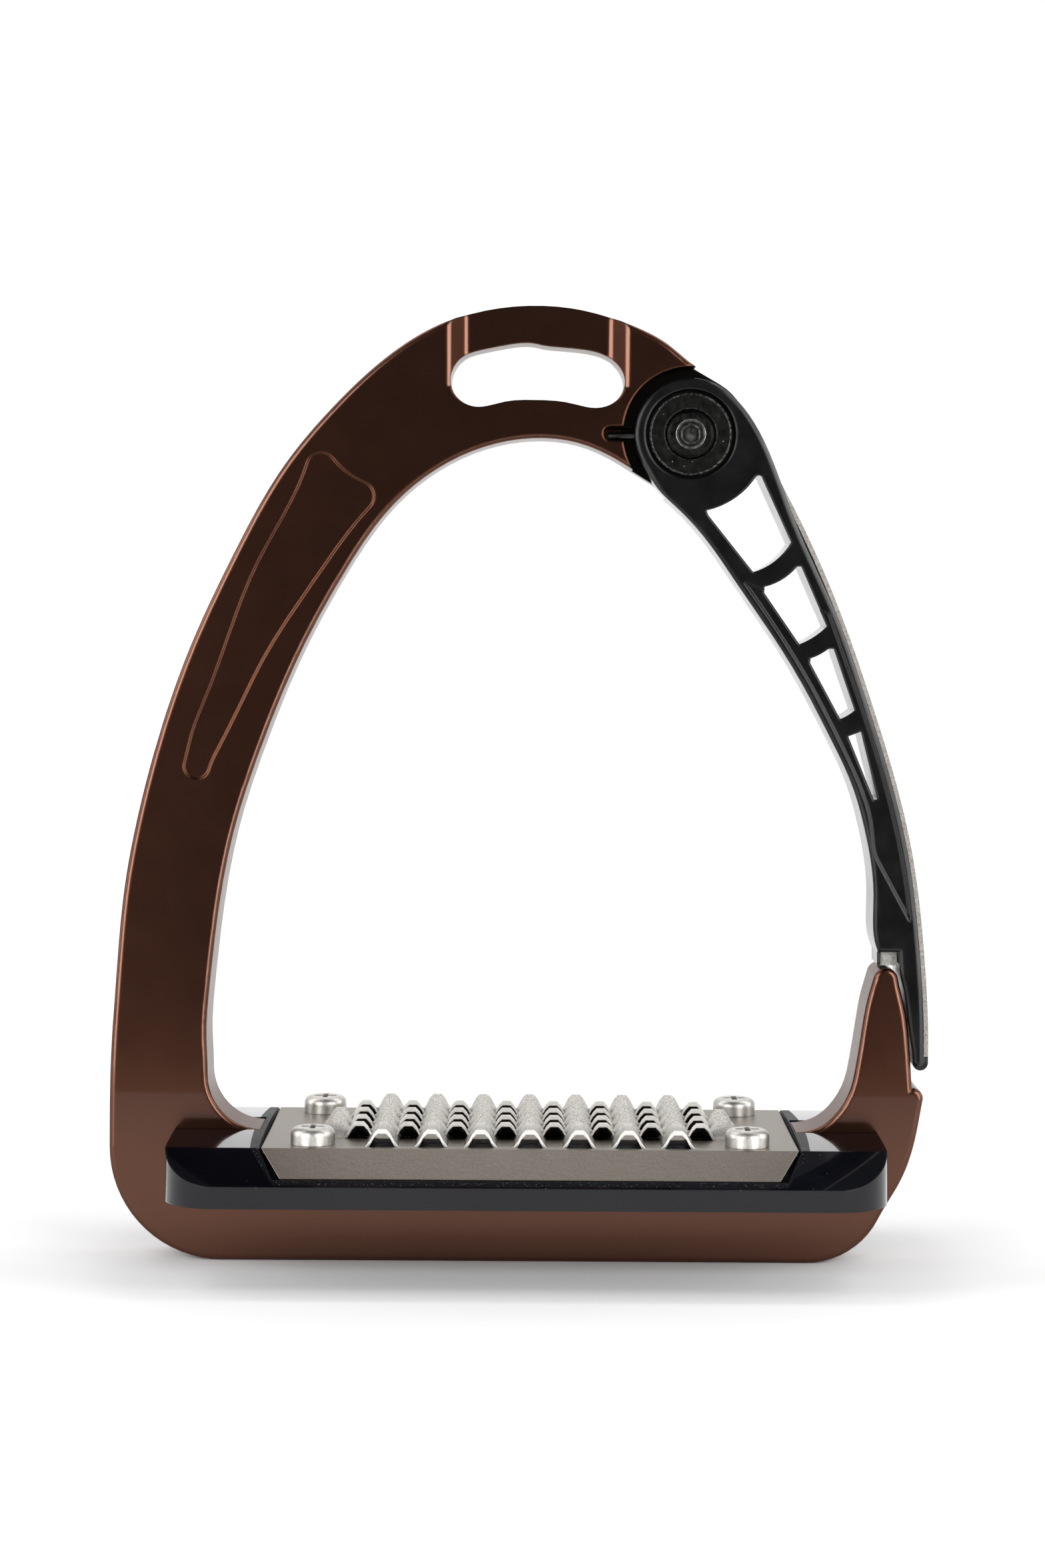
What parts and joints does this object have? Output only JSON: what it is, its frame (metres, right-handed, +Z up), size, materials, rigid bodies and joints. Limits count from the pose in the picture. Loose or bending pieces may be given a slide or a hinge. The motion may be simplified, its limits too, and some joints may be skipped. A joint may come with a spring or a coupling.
{
  "type": "stirrup iron",
  "caption": "Side-opening safety stirrup: dark bronze frame, sprung black release arm on a pivot, saddle-fitted footbed with a toothed steel tread.",
  "frame": {"origin": "middle of the whole iron, on the flat underside of its bottom bar", "axes": "+X across the foot towards the release arm, +Y through the depth towards the back of the pivot, +Z up to the strap bar"},
  "size_m": [0.1504, 0.062, 0.1759],
  "materials": {
    "bronze_lacquer": "gloss lacquer over a die casting",
    "black_arm": "semi-gloss black anodised",
    "grey_strip": "mottled matte",
    "grey_pad": "mottled matte",
    "black_bush": "black oxide, worn",
    "black_screw": "black oxide with a bright socket",
    "washer_brass": "plain",
    "zinc_steel": "zinc plated",
    "spring_steel": "oiled spring wire",
    "black_body": "high gloss",
    "tread_steel": "fine blasted stainless",
    "screw_steel": "bright stainless"
  },
  "bodies": {
    "iron": {"frame": "bronze_lacquer", "pivot_bush": "black_bush", "pivot_screw": "black_screw", "thrust_washer": "washer_brass", "pivot_washer": "zinc_steel", "pivot_nut": "zinc_steel", "arm_spring": "spring_steel", "footbed_body": "black_body", "footbed_screws": "zinc_steel", "footbed_washers": "zinc_steel", "tread_plate": "tread_steel", "tread_screws": "screw_steel", "tread_inserts": "washer_brass"},
    "arm": {"safety_arm": "black_arm", "arm_side_strip": "grey_strip", "stop_pad": "grey_pad", "arm_bearing": "washer_brass"}
  },
  "joints": [
    {"name": "arm_hinge", "type": "hinge", "parent": "iron", "child": "arm", "pos_m": [0.0309, 0, 0.1523], "axis": [0, -1, 0], "range_deg": [0, 78], "stiffness_Nm_per_rad": 0.23, "springref_deg": -29.79, "deforming": ["arm_spring"]}
  ]
}
